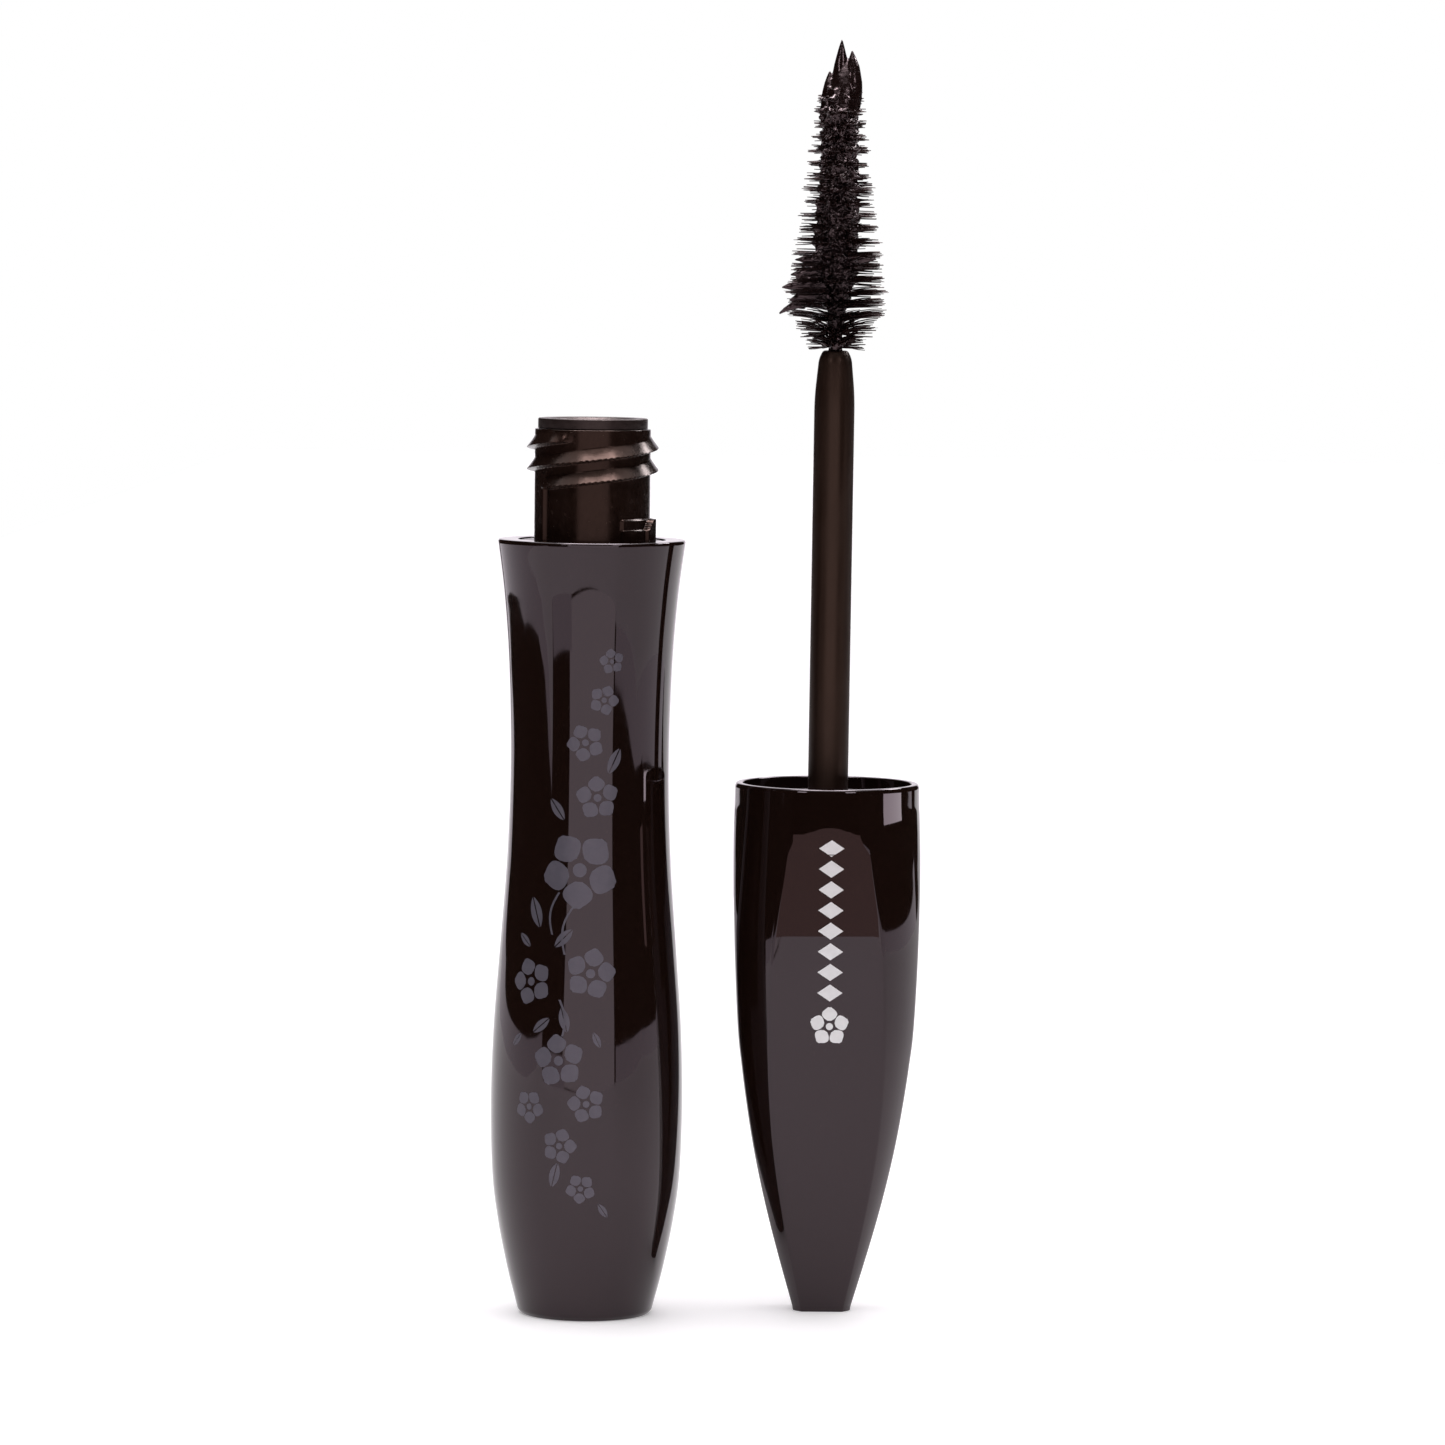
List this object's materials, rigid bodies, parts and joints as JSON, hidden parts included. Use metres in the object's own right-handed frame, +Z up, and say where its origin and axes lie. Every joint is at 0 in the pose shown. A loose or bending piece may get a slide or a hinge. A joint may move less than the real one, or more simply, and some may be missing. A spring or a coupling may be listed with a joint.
{
  "type": "mascara tube",
  "caption": "Opened mascara tube: waisted bottle with threaded neck and wiper, beside its cap with rod and tapered twisted-wire brush.",
  "frame": {"origin": "middle of the object's footprint box, on the surface that the bottle and the cap stand on", "axes": "+Z up along the bottle, +X from the bottle to the applicator, -Y is the front"},
  "size_m": [0.0424, 0.0232, 0.1268],
  "materials": {
    "outer_shell": "high-gloss black lacquered plastic with a grey printed floral motif",
    "vial": "glossy moulded black polypropylene",
    "wiper": "smooth black elastomer",
    "liner": "semi-gloss black polypropylene",
    "stem": "glossy black rod with a thin film of mascara",
    "mascara": "wet black paste, clotted where it has dried",
    "bristle": "fine black nylon fibre coated with mascara",
    "steel": "drawn stainless steel wire and slug",
    "label": "blank white paper sticker"
  },
  "bodies": {
    "bottle": {"bottle_shell": "outer_shell", "base_plug": "liner", "base_label": "label", "vial": "vial", "wiper": "wiper", "mascara_formula": "mascara"},
    "washer": {"seal_washer": "wiper"},
    "applicator": {"cap_shell": "outer_shell", "cap_insert": "liner", "cap_weight": "steel", "stem": "stem", "wire_core": "steel", "bristle_turn_01": "bristle", "bristle_turn_02": "bristle", "bristle_turn_03": "bristle", "bristle_turn_04": "bristle", "bristle_turn_05": "bristle", "bristle_turn_06": "bristle", "bristle_turn_07": "bristle", "bristle_turn_08": "bristle", "bristle_turn_09": "bristle", "bristle_turn_10": "bristle", "bristle_turn_11": "bristle", "bristle_turn_12": "bristle", "bristle_turn_13": "bristle", "bristle_turn_14": "bristle", "bristle_turn_15": "bristle", "bristle_turn_16": "bristle", "bristle_turn_17": "bristle", "bristle_turn_18": "bristle", "bristle_turn_19": "bristle", "bristle_turn_20": "bristle", "tip_clump": "mascara", "side_clump": "mascara"}
  },
  "joints": [
    {"name": "draw_out", "type": "slide", "parent": "bottle", "child": "washer", "axis": [0, 0, 1], "range_m": [0, 0.09]},
    {"name": "twist", "type": "hinge", "parent": "washer", "child": "applicator", "pos_m": [0.01184, 0.00235, 0.0401], "axis": [0, 0, 1], "range_deg": [0, 450]}
  ]
}
